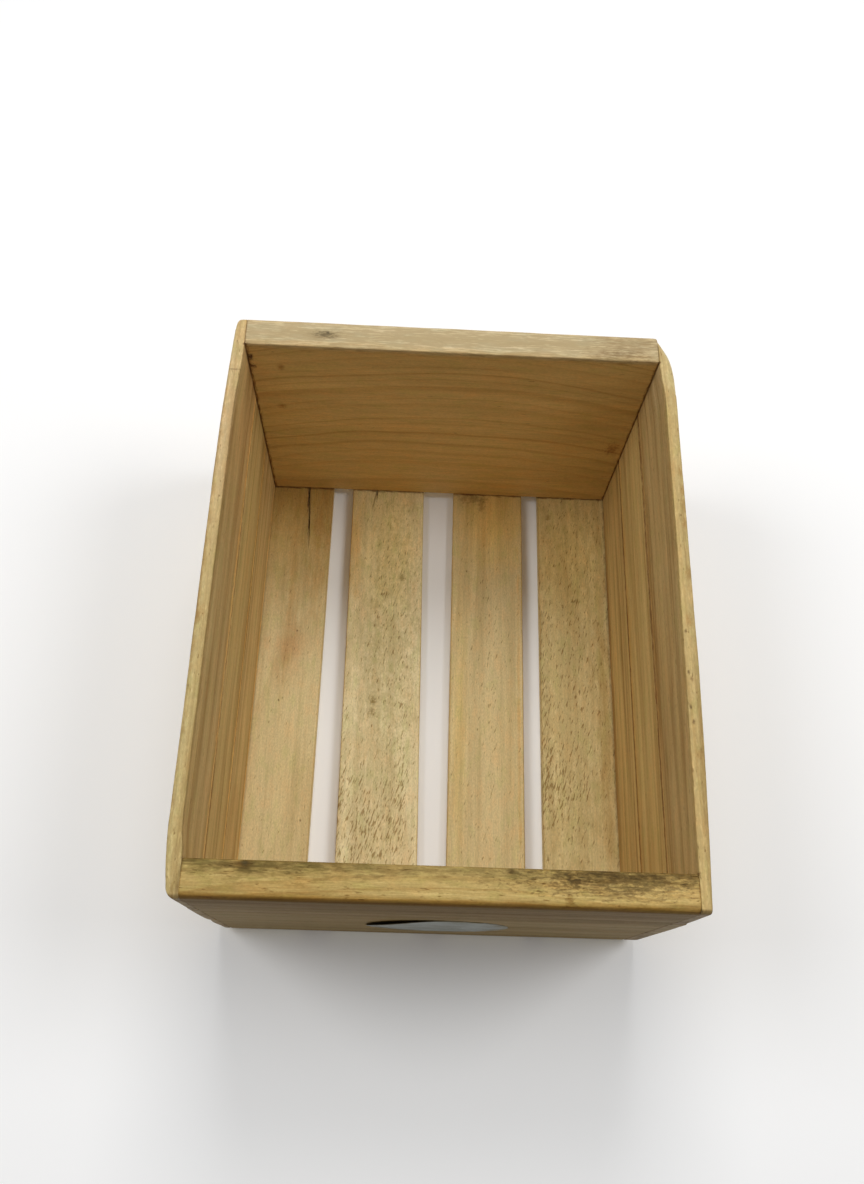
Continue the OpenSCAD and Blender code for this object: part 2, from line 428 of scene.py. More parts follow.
def new_material(name):
    """A material, its node tree, and the place in space that it is asked for."""
    material = bpy.data.materials.new(name)
    material.use_nodes = True
    tree = material.node_tree
    tree.nodes.clear()
    return material, tree, put(tree, "ShaderNodeTexCoord").outputs["Object"]


def finish_material(tree, height, settings):
    """The shader, with a bump from a height in mm, and the material's output."""
    bump = put(tree, "ShaderNodeBump", {"Strength": 1.0, "Distance": mm, "Height": height})
    shader = put(tree, "ShaderNodeBsdfPrincipled", dict(settings, Normal=bump.outputs[0]))
    output = tree.nodes.new("ShaderNodeOutputMaterial")
    tree.links.new(shader.outputs[0], output.inputs[0])


def pine(name, low, high, grain_order, tone, log, lines=0.3, late_start=0.3, wander=0.008,
         streaks=0.12, bands=0.0, warmth=0.5, mottle=0.07, marks=(), torn=(),
         torn_all_over=0.0, torn_angle=0.12, edge_dirt=1.0, sheen=0.35, turn=0.0,
         seed=1.0):
    """Planed softwood. grain_order names the axes along, across and through the board, and
    log says where the board lay in its log: (pith across, pith depth, sweep, slope, ring
    width). lines, streaks, bands, warmth and mottle are the strengths of the ring lines,
    light streaks, dark bands, warm clouds and speckle, and turn is the board's own turn."""
    material, tree, place = new_material(name)
    local = vector(tree, "SUBTRACT", place, tuple((low + high) / 2))
    if turn:
        local = spun(tree, local, -turn)
    parts = split(tree, local)
    order = ["XYZ".index(letter) for letter in grain_order]
    grain = join(tree, *(parts[axis] for axis in order))
    half = (high - low) / 2
    rings = use(tree, growth_rings, Grain=grain, Pith_Across=log[0], Pith_Depth=log[1],
                Sweep=log[2], Slope=log[3], Ring_Width=log[4], Wander=wander,
                Late_Start=late_start, Seed=seed)["Latewood"]
    fibre = use(tree, wood_fibre, Grain=grain, Seed=seed)
    edge = use(tree, board_edge, Grain=grain, Half_Size=tuple(half[order]))["Distance"]

    colour = shaded(tree, times(tree, rings, lines), tone, late_tint)
    warm = times(tree, fade(tree, fibre["Tone"], 0.48, 0.8), warmth)
    colour = shaded(tree, warm, colour, warm_tint)
    colour = shaded(tree, fade(tree, fibre["Tone"], 0.52, 0.25), colour, pale_tint)
    colour = shaded(tree, fade(tree, fibre["Cloud"], 0.50, 0.70), colour, green_tint)
    colour = shaded(tree, fade(tree, fibre["Cloud"], 0.50, 0.30), colour, red_tint)
    band = times(tree, fade(tree, fibre["Broad"], 0.52, 0.30), bands)
    colour = shaded(tree, band, colour, band_tint)
    streak = fade(tree, fibre["Broad"], 0.3, 0.7, 1 - streaks, 1 + 0.6 * streaks)
    fine = fade(tree, fibre["Fine"], 0.25, 0.75, 0.91, 1.06)
    speckle = fade(tree, fibre["Speckle"], 0.3, 0.7, 1 - mottle, 1 + mottle)
    light = times(tree, streak, fine, speckle)
    colour = shaded(tree, 1.0, colour, join(tree, light, light, light))
    height = maths(tree, "MULTIPLY_ADD", fibre["Fine"], 0.08, times(tree, rings, 0.03))
    height = maths(tree, "MULTIPLY_ADD", fibre["Speckle"], 0.10, height)

    density = torn_all_over
    for mark in torn:
        density = maths(tree, "ADD", density, mask_of(tree, place, mark))
    flecks = use(tree, torn_flecks, Grain=grain, Angle=torn_angle,
                 Stretch=(150.0, 820.0, 820.0), Density=density)["Mask"]
    colour = shaded(tree, times(tree, flecks, 0.85), colour, torn_tint)
    height = maths(tree, "MULTIPLY_ADD", flecks, -0.15, height)

    for mark in marks:
        mode = "MIX" if mark["covers"] else "MULTIPLY"
        colour = blend(tree, mask_of(tree, place, mark), colour, mark["tint"], mode)

    worn = times(tree, fade(tree, edge, 0.0012, 0.0002),
                 fade(tree, fibre["Tone"], 0.35, 0.6, 0.3 * edge_dirt, 0.9 * edge_dirt))
    colour = shaded(tree, worn, colour, edge_tint)
    rough = fade(tree, fibre["Broad"], 0.3, 0.7, 0.74, 0.60)
    finish_material(tree, height, {"Base Color": colour, "Roughness": rough,
                                   "Specular IOR Level": sheen})
    return material


front_rim_r = 5 * mm
back_rim_r = 3 * mm
tight_r = 0.3 * mm
wall_x = 140 * mm
wall_y = 168 * mm
floor_top = 10 * mm


def weathered(points, middle, reach, depth, seed):
    """Sinks rough pits into a patch of a rim, where the soft wood has weathered away."""
    away = np.hypot((points[:, 0] - middle[0]) / reach[0], (points[:, 1] - middle[1]) / reach[1])
    share = np.clip(1.3 - away, 0, 1) * (points[:, 2] > middle[2] - 1.5 * mm)
    pits = np.clip(bumps(points, np.array((5, 1.6, 5)) * mm, seed) - 0.05, 0, 1)
    fine = np.clip(bumps(points, np.array((2.4, 1.1, 5)) * mm, seed + 1), 0, 1)
    points[:, 2] -= depth * share * (pits + 0.5 * fine)


def end_board(node, material, wider, seed, close_ups=((), (), ()), pits=()):
    low, high = box_of(node)
    points, quads = board_mesh(low, high, (3, 2.5, 6), close_ups)
    ease_edges(points, low, high, 0.9 * mm, wider, seed)
    roughen(points, seed)
    for number, (middle, reach, depth) in enumerate(pits):
        weathered(points, middle, reach, depth, seed + 70 + 2 * number)
    keep_inside(points, low, high)
    make_piece(node + "_wood", points, quads, material, node)


front_low, front_high = box_of("front_end_board")
rim_z = front_high[2]
stain_dark = srgb(118, 102, 80)
stain_grey = srgb(172, 166, 148)
thin_strokes = (7.5, 1.1, 1.1)
pitted = (3.0, 1.3, 1.3)
front_face_y = front_low[1]
front_wood = pine(
    "Front end board pine", front_low, front_high, "XZY", tone=srgb(188, 159, 95),
    log=(-0.16, -0.10, 0.25, 0.0, 0.0030), lines=0.60, late_start=0.45, wander=0.006,
    streaks=0.16, bands=0.3, warmth=0.4, mottle=0.09, torn_all_over=0.05, torn_angle=0.0,
    edge_dirt=0.7, sheen=0.15,
    marks=[
        # handling dirt along the whole rim
        on_rim(0, -169, (400, 10, 6), srgb(222, 226, 214), 0.55, 1.0, 3.6, (9, 3, 3)),
        on_rim(0, -173.5, (400, 13, 6), srgb(184, 162, 122), 0.30, 0.5, 5.0, (24, 1.3, 1.3)),
        on_rim(0, -169, (400, 5, 4), stain_grey, 0.55, 1.0, 6.0, (9, 2.2, 2.2)),
        # the dark, weathered stretch on the right with its light bits, and three spots
        on_rim(92, -173, (52, 9.5, 6), stain_grey, 0.42, 1.0, 3.4, (6, 2.4, 2.4)),
        on_rim(100, -173, (46, 8.5, 6), stain_dark, 0.38, 0.8, 6.0, thin_strokes),
        on_rim(94, -172.8, (44, 8, 6), stain_dark, 0.44, 0.7, 6.5, pitted),
        on_rim(96, -173, (44, 6.5, 5), (1.45, 1.40, 1.30, 1), 0.5, 0.8, 7.0, (3.6, 1.2, 1.2)),
        on_rim(72, -174, (7.5, 3, 5), stain_dark, 0.6, 1.0, 3.0, pitted),
        on_rim(38, -170, (4, 1.8, 3), stain_dark, 0.8, 0.9),
        on_rim(69, -184, (3, 4, 4), srgb(176, 150, 104), 0.7, 1.0, 3.0, pitted),
        # the knot on the left, in a greyed patch
        on_rim(-106.3, -170, (6, 3.4, 3), srgb(196, 176, 130), 0.8, 1.0, 1.4),
        on_rim(-105, -170.5, (55, 8.5, 5), srgb(190, 190, 164), 0.6, 1.0, 4.5, (7, 3.2, 3.2)),
        on_rim(-106.3, -169.7, (2.2, 1.8, 3), srgb(78, 66, 34), 0.85, 0.9, 1.4, (1.4, 1, 1),
               covers=True),
        on_rim(-100, -170.5, (50, 5, 4), stain_grey, 0.6, 1.0, 4.5, thin_strokes),
        # painted shade on the outer face: darker and cooler all over, and darker still under the
        # rim; and the rim's rounding
        blemish((0.0, front_face_y, rim_z - 4 * mm), (400, 3, 75), (0.66, 0.57, 0.33, 1),
                1.0, 0.7, 0.6, (20, 6, 6)),
        blemish((0.0, front_face_y + 0.5 * mm, rim_z), (400, 3.4, 5), (0.92, 0.78, 0.52, 1),
                1.0, 0.9, 0.9, (20, 2, 2)),
        on_rim(0, -175.5, (400, 11, 4), (1.11, 1.17, 1.30, 1), 1.0, 0.3, 0.3),
        # painted shade: the whole outer face darkened and cooled
        blemish((0.0, front_face_y, 0.09), (400, 3.5, 170), srgb(175, 174, 186), 0.85, 0.3, 0.2),
        joint_dirt((-wall_x, -0.18, rim_z), "y", 0.6, 0.35),
        joint_dirt((wall_x, -0.18, rim_z), "y", 0.6, 0.35),
        joint_dirt((-wall_x, -wall_y, 0.1), "z"),
        joint_dirt((wall_x, -wall_y, 0.1), "z"),
        joint_dirt((0.0, -wall_y, floor_top), "x"),
    ], seed=3.0)
weathered_place = (92 * mm, -173 * mm, rim_z)
weathered_reach = (46 * mm, 8 * mm)
weathered_depth = 0.9 * mm
end_board("front_end_board", front_wood,
          {"front top": front_rim_r, "back top": 1.0 * mm, "left top": tight_r,
           "right top": tight_r}, seed=100,
          close_ups=([(weathered_place[0], 40 * mm, 1.2 * mm)],
                     [(weathered_place[1], 5 * mm, 0.7 * mm)], []),
          pits=[(weathered_place, weathered_reach, weathered_depth)])


def on_back_wall(x, z, *more):
    """A blemish in the back board's inner face, with its middle in mm."""
    return blemish((x * mm, wall_y, z * mm), *more)


back_low, back_high = box_of("back_end_board")
strokes = (11, 0.8, 0.8)
back_wood = pine(
    "Back end board pine", back_low, back_high, "XZY", tone=srgb(213, 177, 110),
    log=(-0.118, 0.19, 1.1, 0.0, 0.0066), lines=0.62, late_start=0.62, wander=0.010,
    streaks=0.10, warmth=0.45, mottle=0.07, torn_angle=0.0, edge_dirt=0.35,
    marks=[
        # the greyed rim, with its strokes
        on_rim(0, 180, (400, 20, 5), srgb(204, 191, 156), 0.9, 0.7, 0.6, (50, 3, 3), covers=True),
        on_rim(0, 179, (400, 20, 5), srgb(252, 232, 208), 0.4, 1.0, 4.0, (20, 5, 5)),
        on_rim(0, 179, (400, 16, 5), srgb(214, 216, 196), 0.32, 1.0, 4.5, (16, 1.8, 1.8)),
        on_rim(0, 179, (400, 13, 5), srgb(170, 152, 120), 0.42, 0.5, 6.0, strokes),
        # the rim's knot on the left and its stain on the right
        on_rim(-86.2, 177.8, (14, 4.5, 5), srgb(212, 208, 196), 0.8, 1.0, 1.0, (6, 2, 2)),
        on_rim(-86.2, 178, (7, 3, 5), srgb(140, 136, 120), 0.7, 1.0, 4.0, (3, 1.2, 1.2)),
        on_rim(-85, 180, (1.4, 1.8, 4), srgb(110, 106, 96), 0.8, 0.9),
        on_rim(120, 181.5, (26, 9.5, 5), srgb(186, 168, 134), 0.4, 1.0, 5.0, (6, 1.2, 1.2)),
        on_rim(114, 172, (20, 5, 4), srgb(166, 146, 106), 0.5, 1.0, 4.0, (4.5, 1.4, 1.4)),
        # pin knots, and dark spots by the left joint
        on_back_wall(-118, 181, (3, 4, 4.4), srgb(196, 160, 116), 0.7, 1.0, 1.4, (2, 2, 3)),
        on_back_wall(-122, 133, (3.6, 4, 3.8), srgb(198, 162, 118), 0.7, 1.0, 1.4, (2, 2, 3)),
        on_back_wall(131, 93, (6, 4, 9), srgb(190, 160, 122), 0.8, 1.0, 3.0, (2, 3, 3)),
        on_back_wall(-138, 191, (2.4, 4, 4), srgb(84, 54, 28), 0.95, 0.9, 3.0, (1.6, 3, 3)),
        on_back_wall(-137.5, 181, (2.6, 4, 3), srgb(110, 74, 40), 0.8, 0.9, 4.0, (1.6, 3, 2)),
        joint_dirt((-wall_x, wall_y, 0.1), "z", 1.9, 0.95, 3.6),
        joint_dirt((wall_x, wall_y, 0.1), "z", 1.5, 0.9),
        joint_dirt((0.0, wall_y, floor_top), "x", 1.3, 0.9),
        joint_dirt((-wall_x, 0.18, rim_z), "y", 0.6, 0.5, 4.0),
        # broad tints of the inner face: right, top, and low on the left
        on_back_wall(128, 100, (50, 4, 130), (0.86, 0.85, 0.82, 1), 1.0, 1.0, 0.6, (20, 20, 20)),
        blemish((0.0, wall_y, rim_z), (300, 4, 40), (0.88, 0.85, 0.77, 1), 1.0, 1.0, 0.6,
                (30, 10, 10)),
        on_back_wall(-105, 75, (60, 4, 90), (1.01, 1.07, 1.16, 1), 1.0, 1.0, 0.6, (20, 20, 20)),
    ], seed=8.0)


def rounded_corner(points):
    """The right back corner is bare at the top, where the slat is worn away, and rounded."""
    return (0.9 + 3.6 * np.clip((points[:, 2] - rim_z + 22 * mm) / (15 * mm), 0, 1)) * mm


end_board("back_end_board", back_wood,
          {"back top": back_rim_r, "front top": 0.9 * mm, "left top": tight_r,
           "right top": 1.6 * mm, "right back": rounded_corner}, seed=200)


# ---- Side slats ----
# Three thin softwood boards a side, planed and butted edge to edge, run the full length and
# are nailed into the end boards' end grain. Years of carrying have hollowed the rims between the
# corners, rounded their outer edges, and taken the right back corner off.

slat_t = 10 * mm
head_r = 2.5 * mm
dent_r = 3.9 * mm
dent_slope = 1.4 * mm
dent_depth = 0.85 * mm
rim_r = 2.5 * mm
corner_r = 6.5 * mm
drop_run = 28 * mm
drop_depth = 4 * mm
wear_run = 46 * mm
wear_depth = 12.8 * mm
wear_lean = math.radians(34)
hollow_depth = 2.2 * mm
# how far a top slat's outer face comes in at the rim towards a corner, in mm, the y where
# that starts, the length that it takes, and which way it grows
rim_wear = {"left_top_slat": [(3.0, -150, 39, -1), (3.0, 90, 99, 1)],
            "right_top_slat": [(3.8, -50, 139, -1)]}
top_slat_low, top_slat_high = (corner[2] / mm for corner in box_of("right_top_slat"))


def height_share(z):
    """From 0 at a top slat's lower edge to 1 at the rim. z is in mm."""
    return np.clip((z - top_slat_low) / (top_slat_high - top_slat_low), 0, 1)


def worn_in(y, z, node):
    """How far a top slat's outer face has come in, most at the rim. y and z are in mm."""
    depth = y * 0
    for most, start, run, way in rim_wear.get(node, []):
        depth = depth + most * np.clip(way * (y - start) / run, 0, 1) ** 1.5
    return depth * height_share(z) * mm


def hollowed(y, z, node):
    """How far a top slat's inner face has gone out, between the end boards. In brackets are
    the y at each end, in mm, and the length in which the hollow reaches its full depth."""
    share = y * 0
    if node == "left_top_slat":
        share = smooth((166 - y) / 50) * smooth((y + 172) / 25)
    if node == "right_top_slat":
        share = smooth((166 - y) / 28) * np.clip((y + 165) / 205, 0, 1)
    return hollow_depth * share * (0.12 + 0.88 * height_share(z) ** 1.5)


def slope_down(points, low, high, run, drop):
    """Lowers a slat's top in an arc that starts level, a run before its front end."""
    radius = (run * run + drop * drop) / (2 * drop)
    place = np.clip(low[1] + run - points[:, 1], 0, run)
    fall = radius - np.sqrt(radius * radius - place * place)
    points[:, 2] -= fall * (points[:, 2] - low[2]) / (high[2] - low[2])


def wear_corner(points, low, high):
    """Takes the right rim's outer back corner off, along a curve that leans out downwards."""
    sagitta = wear_depth * math.cos(wear_lean)
    radius = (wear_run ** 2 + sagitta ** 2) / (2 * sagitta)
    place = np.clip(points[:, 1] - (high[1] - wear_run), 0, wear_run)
    worn = (radius - np.sqrt(radius ** 2 - place ** 2)) / math.cos(wear_lean)
    over = points[:, 0] - (high[0] - worn)
    soft = 1.2 * mm
    over = soft * np.logaddexp(0, over / soft) - soft * np.logaddexp(0, -worn / soft - 4)
    fall = np.clip(over, 0, None) / math.tan(wear_lean) * (worn > 0)
    start = high[2] - 30 * mm
    share = np.clip((points[:, 2] - start) / (high[2] - start), 0, 1)
    points[:, 2] -= fall * share


def press_in(points, axis, face, side, nails):
    """Presses the wood in round each nail's head, on the outer face."""
    others = [index for index in range(3) if index != axis]
    near_face = np.abs(points[:, axis] - face) < 1.2 * mm
    for nail in nails:
        away = np.hypot(*(points[:, index] - place for index, place in zip(others, nail)))
        depth = dent_depth * smooth((dent_r - away) / dent_slope)
        points[near_face, axis] -= side * depth[near_face]


def slat_nails(nails_node):
    """Where the nails of one slat are, as (y, z)."""
    low, high = box_of(nails_node)
    ys = (low[1] + head_r, high[1] - head_r)
    zs = (low[2] + head_r, high[2] - head_r)
    return list(itertools.product(ys, zs))


def tight_at_ends(points):
    """A rim's inner edge is rounded by wear, but stays sharp against the end boards."""
    return np.where(np.abs(points[:, 1]) > wall_y, tight_r, 0.8 * mm)


def nail_close_ups(places):
    """Fine cuts round the nails' heads, for the dents that they sit in."""
    return [(place, 4.5 * mm, 0.75 * mm) for place in sorted(set(places))]


worn_edges = {
    "left_top_slat": {"left top": rim_r, "left front": corner_r, "left back": corner_r + 2 * mm,
                      "back top": back_rim_r, "right top": tight_at_ends},
    "left_middle_slat": {"left front": corner_r},
    "left_bottom_slat": {"left front": corner_r + 1 * mm},
    "right_top_slat": {"right top": rim_r, "front top": 3 * mm, "right front": 2.5 * mm,
                       "left top": tight_at_ends},
}


def slat(node, material, seed):
    low, high = box_of(node)
    outer = -1 if low[0] < 0 else 1
    nails = slat_nails(node + "_nails")
    steps = (1, 2.5, 5) if node.endswith("top_slat") else (2.5, 4, 5)
    points, quads = board_mesh(low, high, steps, ((), nail_close_ups(y for y, z in nails),
                                                  nail_close_ups(z for y, z in nails)))
    press_in(points, 0, high[0] if outer > 0 else low[0], outer, nails)
    ease_edges(points, low, high, 0.8 * mm, worn_edges.get(node, {}), seed)
    if node == "left_top_slat":
        slope_down(points, low, high, drop_run, drop_depth)
    if node == "right_top_slat":
        wear_corner(points, low, high)
    outer_share = np.abs(points[:, 0] - (low[0] if outer > 0 else high[0])) / slat_t
    y, z = points[:, 1] / mm, points[:, 2] / mm
    points[:, 0] -= outer * worn_in(y, z, node) * outer_share
    points[:, 0] += outer * hollowed(y, z, node) * (1 - outer_share)
    roughen(points, seed)
    keep_inside(points, low, high)
    make_piece(node + "_wood", points, quads, material, node)


def slat_marks(side, low, high):
    """Dirt in a slat's joints, the torn light fibres beside them, and its front end, darkened as
    painted shade like the front board's outer face.
    """
    inner, outer = side * wall_x, side * (wall_x + slat_t)
    width, dark, lighter, spread = 2.1, 0.85, (1.26, 1.22, 1.12, 1), 1.6
    if side < 0:
        width, dark, lighter, spread = 1.5, 0.6, (1.60, 1.56, 1.42, 1), 3.0
    joints = [z for z in (low[2], high[2]) if z < rim_z]
    return [joint_dirt((inner, 0.0, z), "y", width, dark) for z in joints] + [
        joint_dirt((outer, 0.0, z), "y", 1.0, 0.7) for z in joints] + [
        blemish((inner, 0.0, low[2] + 2 * mm), (3, 600, spread), lighter, 0.9, 0.6, 6.0, (2, 7, 1)),
        blemish((inner, -0.02, low[2] + 4 * mm), (4, 240, 7), band_tint, 0.75, 1.0, 3.0,
                (4, 40, 3)),
        joint_dirt((inner, wall_y, 0.1), "z", 1.3, 0.9),
        joint_dirt((inner, -wall_y, 0.1), "z", 1.2, 0.7),
        # painted shade: the slat's front end darkened, like the front board's outer face
        blemish((inner + side * slat_t / 2, front_face_y, 0.09), (30, 3, 250),
                (0.40, 0.38, 0.33, 1), 0.95, 0.4, 0.4)]


def rim_marks(side):
    """The rims' grey handling dirt, and the stains where the wood has yellowed in blotches."""
    cool = (1.01, 1.06, 1.06, 1) if side < 0 else (1.06, 1.08, 1.02, 1)
    marks = [
        on_rim(side * 145, 0, (10, 600, 4.5), cool, 0.95, 0.5, 0.8, (2, 12, 4)),
        on_rim(side * 148.5, 0, (4, 600, 4), (1.07, 1.13, 1.24, 1), 1.0, 1.0, 1.2, (3, 8, 3)),
        on_rim(side * 145, 0, (10, 600, 4.5), srgb(200, 190, 160), 0.35, 0.6, 6.0, (1.4, 7, 2))]
    yellow = srgb(216, 188, 144)
    grey = srgb(146, 130, 98)
    if side > 0:
        marks.append(blemish((0.145, 0.176, 0.194), (16, 42, 40), (1.22, 1.34, 1.66, 1),
                             1.0, 1.0, 0.8, (4, 6, 4)))
        for x, y in ((148.0, 82.5), (148.8, 70.8), (148.8, 58.6), (147.8, 45.7), (148.0, 11.7),
                     (145.5, -19.9), (145.7, -101.4)):
            marks.append(on_rim(x, y, (2.4, 5, 4), yellow, 0.6, 1.0, 2.6, (1.6, 3, 2.5)))
        for x, y in ((143.3, -26.4), (143.1, -52.3), (144.6, -56.5), (142.6, -73.7),
                     (143.7, -82.6)):
            marks.append(on_rim(x, y, (1, 1.8, 3), grey, 0.85, 1.0, 1.8, (1, 1.5, 1)))
        return marks
    return marks + [
        on_rim(-149, 20, (2.6, 170, 5), yellow, 0.5, 1.0, 4.0, (3, 8, 3)),
        on_rim(-148, -27.5, (3, 8, 5), yellow, 0.6, 1.0, 2.6, (1.6, 3, 2.5)),
        joint_dirt((-wall_x, 0.179, rim_z), "y", 0.6, 0.5, 4.0),
        on_rim(-145, 110, (10, 120, 5), (1.02, 0.97, 1.12, 1), 1.0, 1.0, 1.0, (4, 20, 4)),
        blemish((-wall_x, 0.13, 0.165), (4, 110, 60), (1.02, 0.92, 0.84, 1), 1.0, 1.0, 1.0,
                (4, 30, 6)),
        on_rim(-145, 147, (6, 0.7, 4), grey, 0.6, 1.0, 1.0, (1, 1.5, 1))]


slat_boards = {
    "left_top_slat": dict(tone=srgb(195, 168, 113), log=(0.02, -0.12, 0.0, 0.02, 0.0052)),
    "left_middle_slat": dict(tone=srgb(200, 173, 112), log=(-0.06, -0.05, 0.1, 0.0, 0.0040)),
    "left_bottom_slat": dict(tone=srgb(205, 177, 119), log=(0.01, -0.09, 0.0, 0.05, 0.0048)),
    "right_top_slat": dict(tone=srgb(188, 161, 108), log=(-0.01, 0.14, 0.1, 0.02, 0.0052)),
    "right_middle_slat": dict(tone=srgb(202, 175, 114), log=(0.06, 0.06, 0.0, 0.01, 0.0044)),
    "right_bottom_slat": dict(tone=srgb(196, 167, 107), log=(-0.07, 0.05, 0.0, 0.0, 0.0040),
                              streaks=0.28, bands=1.0),
}
for number, (node, board) in enumerate(slat_boards.items()):
    low, high = box_of(node)
    side = -1 if low[0] < 0 else 1
    look = dict(streaks=0.18, bands=0.80, edge_dirt=1.0)
    look.update(board, marks=slat_marks(side, low, high))
    if node.endswith("top_slat"):
        look["marks"] += rim_marks(side)
        look["edge_dirt"] = 0.45
    wood = pine(node.replace("_", " ").capitalize() + " pine", low, high, "YZX", lines=0.36,
                late_start=0.35, warmth=0.45, mottle=0.08, torn_all_over=0.04,
                seed=11.0 + number, **look)
    slat(node, wood, 300 + 40 * number)


# ---- Floor boards ----
# Four planed softwood boards lie lengthwise under the sides and end boards, nailed on from
# below with open gaps between them. The second was nailed on a little askew.

floor_len = 376 * mm
floor_nail_edge = 15 * mm
floor_nail_y = 175.5 * mm
crack_half_width = 0.8 * mm
crack_depth = 6 * mm
crack_column = 0.5 * mm
patina = srgb(226, 212, 180)
olive = srgb(176, 160, 116)


def on_floor(x, y, across, along, *more):
    """A blemish in the floor's upper face. Its middle and its reach are in mm."""
    return blemish((x * mm, y * mm, floor_top), (across, along, 6), *more)


def dark_dots(*places):
    """Small dark specks in a floor board."""
    return [on_floor(x, y, 0.8, 1.2, srgb(130, 106, 70), 0.8, 0.9, 2.2, (0.8, 1.2, 1))
            for x, y in places]


def dirty_crack(x, y, across, along):
    """Dirt along a stretch of an open crack."""
    return on_floor(x, y, across, along, srgb(104, 76, 44), 0.9, 0.8, 2.4, (1, 3, 1))


def torn_patch(x, y, across, along, strength, ragged, speckle):
    """A patch where the plane tore more of the floor's fibres. Its middle and reach are in mm."""
    return blemish((x * mm, y * mm, floor_top), (across, along, 20), None, strength, 1.0,
                   ragged, speckle)


# torn_all_over and torn say how much the plane tore the fibres, crack is a line in mm from
# the back end to the crack's tip, back is how grey the back end is, and own is what marks
# this board alone
floor_boards = {
    1: dict(
        width=60 * mm, turn=0.0, tone=srgb(219, 199, 147), log=(0.02, -0.20, 0.0, 0.03, 0.0062),
        back=1.0, worn={"left front": 10 * mm}, torn_all_over=0.030, torn=[],
        crack=((-110.8, 190.0), (-110.8, 168.4), (-109.4, 146.8), (-107.9, 128.1),
               (-107.4, 112.0)),
        own=dark_dots((-111, 38), (-121, -20), (-97, -112)) + [
            on_floor(-98, 120, 9, 70, srgb(228, 200, 156), 0.5, 1.0, 3.0, (4, 30, 4)),
            on_floor(-118, 60, 5, 90, srgb(226, 200, 160), 0.45, 1.0, 3.0, (4, 30, 4)),
            on_floor(-120, 120, 34, 60, (1.05, 1.02, 0.95, 1), 1.0, 1.0, 0.6),
            dirty_crack(-110.7, 160, 1.0, 16),
            dirty_crack(-108.8, 136, 0.8, 14),
            on_floor(-116, 22, 16, 30, srgb(240, 218, 204), 0.8, 1.0, 2.0, (10, 20, 10))]),
    2: dict(
        width=60 * mm, turn=math.radians(0.73), tone=srgb(232, 215, 167),
        log=(-0.01, -0.11, 0.1, 0.06, 0.0056), back=0.25, worn={}, torn_all_over=0.055,
        torn=[torn_patch(-46, -122, 36, 62, 0.125, 3.2, (4, 22, 10)),
              torn_patch(-73, -90, 9, 90, 0.12, 2.4, (4, 20, 10)),
              torn_patch(-24, -60, 8, 100, 0.07, 1.2, (8, 14, 10)),
              torn_patch(-38, 60, 26, 100, 0.060, 1.2, (8, 14, 10))],
        crack=((-52.5, 190.0), (-53.2, 168.7), (-55.0, 160.0), (-57.5, 150.0)),
        own=[
            on_floor(-48, -18, 3, 3.6, olive, 0.8, 1.0, 3.6, (1.4, 2, 2)),
            on_floor(-49, -27, 4, 4, olive, 0.6, 1.0, 4.0, (1.4, 2, 2)),
            on_floor(-29, 88, 2.6, 3.2, srgb(186, 180, 150), 0.8, 0.6, 2.0, (2, 2, 2)),
            on_floor(-70, 120, 9, 55, srgb(250, 216, 160), 0.6, 1.0, 1.6, (8, 30, 8)),
            on_floor(-42, 115, 36, 80, (1.15, 1.12, 0.94, 1), 1.0, 1.0, 0.8, (10, 30, 10)),
            dirty_crack(-53.0, 165, 0.7, 7),
            on_floor(-46, -30, 30, 160, srgb(200, 200, 160), 0.25, 0.8, 5.0, (4, 10, 4)),
            on_floor(-34, 50, 20, 110, srgb(196, 188, 150), 0.30, 0.8, 5.0, (2.2, 4, 4))]),
    3: dict(
        width=58 * mm, turn=0.0, tone=srgb(219, 198, 145), log=(0.03, -0.10, 0.0, 0.04, 0.0060),
        back=0.5, worn={}, torn_all_over=0.040, crack=(),
        torn=[torn_patch(45, 0, 12, 160, 0.04, 1.4, (6, 12, 10))],
        own=dark_dots((24, 96)) + [
            on_floor(46, 150, 34, 60, (1.15, 1.02, 0.70, 1), 1.0, 1.0, 0.8, (10, 20, 10)),
            on_floor(28, 165, 12, 7, srgb(176, 170, 152), 0.7, 1.0, 3.6, (3, 3, 3)),
            on_floor(36, 158, 2.6, 9, srgb(176, 164, 136), 0.7, 1.0, 3.0, (2, 4, 2)),
            on_floor(66.5, -40, 1.4, 150, srgb(250, 214, 160), 0.5, 1.0, 3.0, (3, 16, 3)),
            on_floor(20, -40, 7, 110, srgb(250, 238, 196), 0.6, 1.0, 1.4, (4, 30, 3))]),
    4: dict(
        width=60 * mm, turn=0.0, tone=srgb(213, 192, 136), log=(-0.02, -0.16, 0.0, 0.02, 0.0056),
        back=0.2, worn={"right front": 7 * mm}, torn_all_over=0.072, crack=(),
        torn=[torn_patch(98, -78, 22, 40, 0.095, 2.4, (6, 10, 10)),
              torn_patch(84, -30, 10, 150, 0.075, 1.4, (6, 12, 10)),
              torn_patch(112, 40, 30, 140, 0.040, 2.4, (8, 14, 10))],
        own=[
            on_floor(92.6, 148.6, 2.6, 3, srgb(190, 176, 140), 0.7, 0.6, 2.0, (2, 2, 2)),
            on_floor(114, 120, 36, 75, (1.14, 1.10, 0.94, 1), 1.0, 1.0, 0.8, (10, 30, 10)),
            on_floor(104, 0, 30, 190, srgb(204, 192, 152), 0.28, 0.8, 5.0, (3.4, 10, 4)),
            on_floor(134, -20, 7, 200, srgb(214, 194, 152), 0.7, 1.0, 2.0, (5, 30, 6))]),
}


